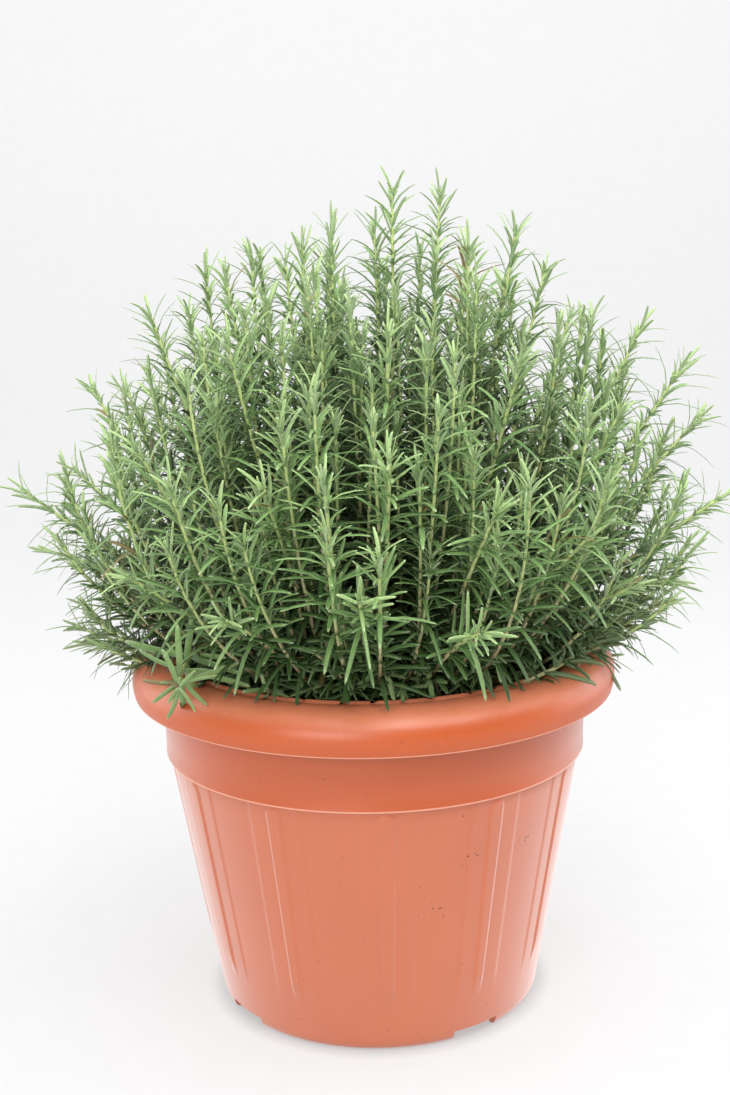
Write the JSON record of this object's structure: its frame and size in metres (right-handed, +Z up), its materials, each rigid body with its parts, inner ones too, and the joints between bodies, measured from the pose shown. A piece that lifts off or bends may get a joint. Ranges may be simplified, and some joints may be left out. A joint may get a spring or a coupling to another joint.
{
  "type": "potted rosemary plant",
  "caption": "Bushy rosemary with upright needle-leaved shoots, rooted in soil in a round ribbed plastic pot with a wide rolled rim.",
  "frame": {"origin": "on the pot's axis, on the flat of the foot ring that it stands on", "axes": "+Z up along the pot's axis, -Y towards the side seen in the picture, +X to that side's right"},
  "size_m": [0.5025, 0.4407, 0.5743],
  "materials": {
    "pot": "satin moulded terracotta-coloured plastic",
    "soil": "moist crumbly potting compost",
    "woody_stems": "rough grey-brown bark",
    "leafy_shoots": "satin green needles on pale green-tan stems"
  },
  "bodies": {
    "root": {"pot": "pot", "soil": "soil", "woody_stem_1": "woody_stems", "woody_stem_2": "woody_stems", "woody_stem_3": "woody_stems", "woody_stem_4": "woody_stems", "woody_stem_5": "woody_stems", "woody_stem_6": "woody_stems", "woody_stem_7": "woody_stems", "woody_stem_8": "woody_stems", "leafy_shoot_01": "leafy_shoots", "leafy_shoot_02": "leafy_shoots", "leafy_shoot_03": "leafy_shoots", "leafy_shoot_04": "leafy_shoots", "leafy_shoot_05": "leafy_shoots", "leafy_shoot_06": "leafy_shoots", "leafy_shoot_07": "leafy_shoots", "leafy_shoot_08": "leafy_shoots", "leafy_shoot_09": "leafy_shoots", "leafy_shoot_10": "leafy_shoots", "leafy_shoot_11": "leafy_shoots", "leafy_shoot_12": "leafy_shoots", "leafy_shoot_13": "leafy_shoots", "leafy_shoot_14": "leafy_shoots", "leafy_shoot_15": "leafy_shoots", "leafy_shoot_16": "leafy_shoots", "leafy_shoot_17": "leafy_shoots", "leafy_shoot_18": "leafy_shoots", "leafy_shoot_19": "leafy_shoots", "leafy_shoot_20": "leafy_shoots", "leafy_shoot_21": "leafy_shoots", "leafy_shoot_22": "leafy_shoots", "leafy_shoot_23": "leafy_shoots", "leafy_shoot_24": "leafy_shoots", "leafy_shoot_25": "leafy_shoots", "leafy_shoot_26": "leafy_shoots", "leafy_shoot_27": "leafy_shoots", "leafy_shoot_28": "leafy_shoots", "leafy_shoot_29": "leafy_shoots", "leafy_shoot_30": "leafy_shoots", "leafy_shoot_31": "leafy_shoots", "leafy_shoot_32": "leafy_shoots", "leafy_shoot_33": "leafy_shoots", "leafy_shoot_34": "leafy_shoots", "leafy_shoot_35": "leafy_shoots", "leafy_shoot_36": "leafy_shoots", "leafy_shoot_37": "leafy_shoots", "leafy_shoot_38": "leafy_shoots", "leafy_shoot_39": "leafy_shoots", "leafy_shoot_40": "leafy_shoots", "leafy_shoot_41": "leafy_shoots", "leafy_shoot_42": "leafy_shoots", "leafy_shoot_43": "leafy_shoots", "leafy_shoot_44": "leafy_shoots", "leafy_shoot_45": "leafy_shoots", "leafy_shoot_46": "leafy_shoots", "leafy_shoot_47": "leafy_shoots", "leafy_shoot_48": "leafy_shoots", "leafy_shoot_49": "leafy_shoots", "leafy_shoot_50": "leafy_shoots"}
  },
  "joints": []
}
